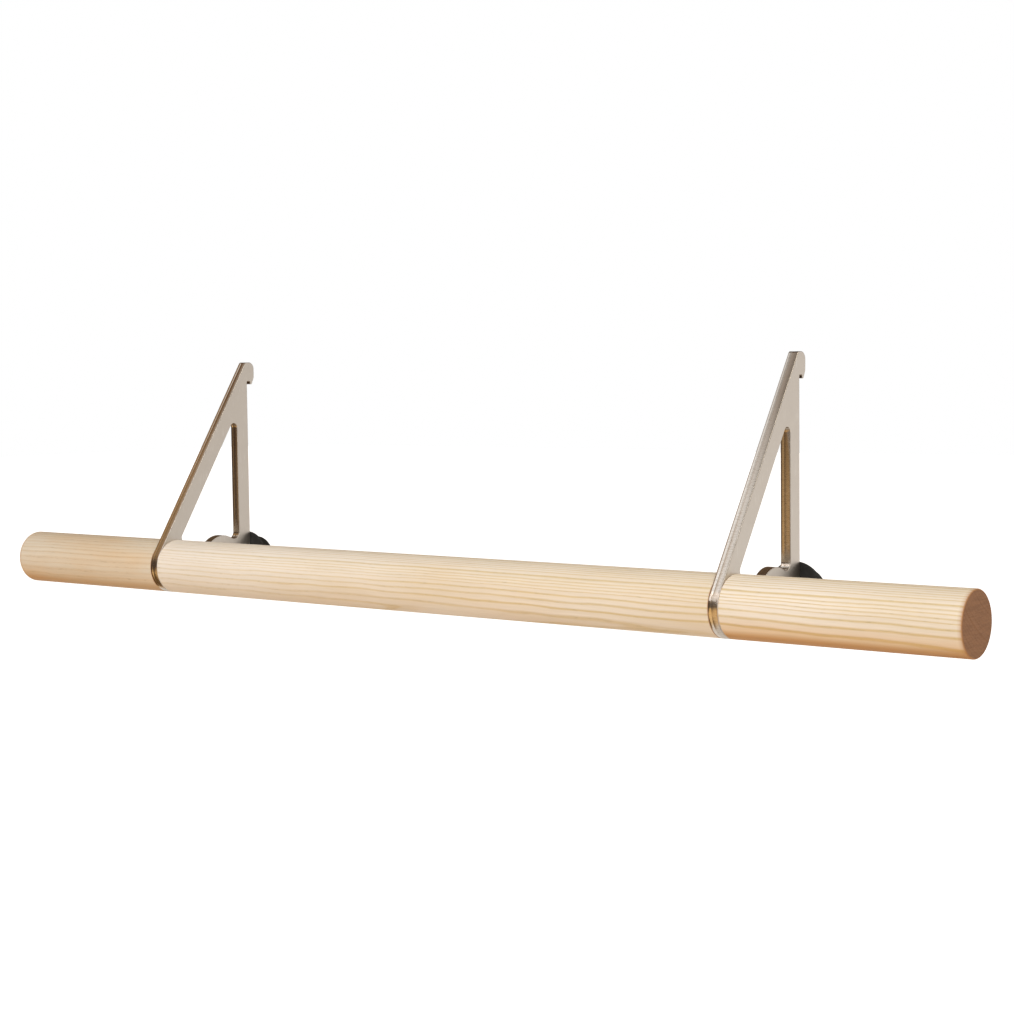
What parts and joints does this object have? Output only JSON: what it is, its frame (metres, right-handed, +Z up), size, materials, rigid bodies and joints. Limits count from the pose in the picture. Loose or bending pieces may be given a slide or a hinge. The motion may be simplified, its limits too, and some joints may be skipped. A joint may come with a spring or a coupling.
{
  "type": "wall-hung round bar rack",
  "caption": "Round ash bar in joined lengths, clamped flush between the eyes of hooked flat steel brackets that hang on a wall rail, with rubber buffers behind.",
  "frame": {"origin": "on the bar's axis, half way between the two brackets", "axes": "+X along the bar, to the right seen from the front; +Y from the bar towards the wall; +Z up, parallel to the bracket's upright leg"},
  "size_m": [1.025, 0.14, 0.22],
  "materials": {
    "ash_wood": "fine straight-grained ash, lightly oiled, satin",
    "satin_stainless": "satin stainless plate with laser-cut edges",
    "black_rubber": "matt moulded rubber",
    "zinc_steel": "bright zinc-plated steel",
    "insert_brass": "turned brass"
  },
  "bodies": {
    "root": {"bar_middle": "ash_wood", "bar_end_left": "ash_wood", "bar_end_right": "ash_wood", "bracket_left": "satin_stainless", "bracket_right": "satin_stainless", "joint_stud_left": "zinc_steel", "joint_stud_right": "zinc_steel", "insert_inner_left": "insert_brass", "insert_inner_right": "insert_brass", "insert_outer_left": "insert_brass", "insert_outer_right": "insert_brass", "locating_pins_left": "zinc_steel", "locating_pins_right": "zinc_steel", "buffer_left": "black_rubber", "buffer_right": "black_rubber", "buffer_washer_left": "zinc_steel", "buffer_washer_right": "zinc_steel", "buffer_screw_left": "zinc_steel", "buffer_screw_right": "zinc_steel"}
  },
  "joints": []
}
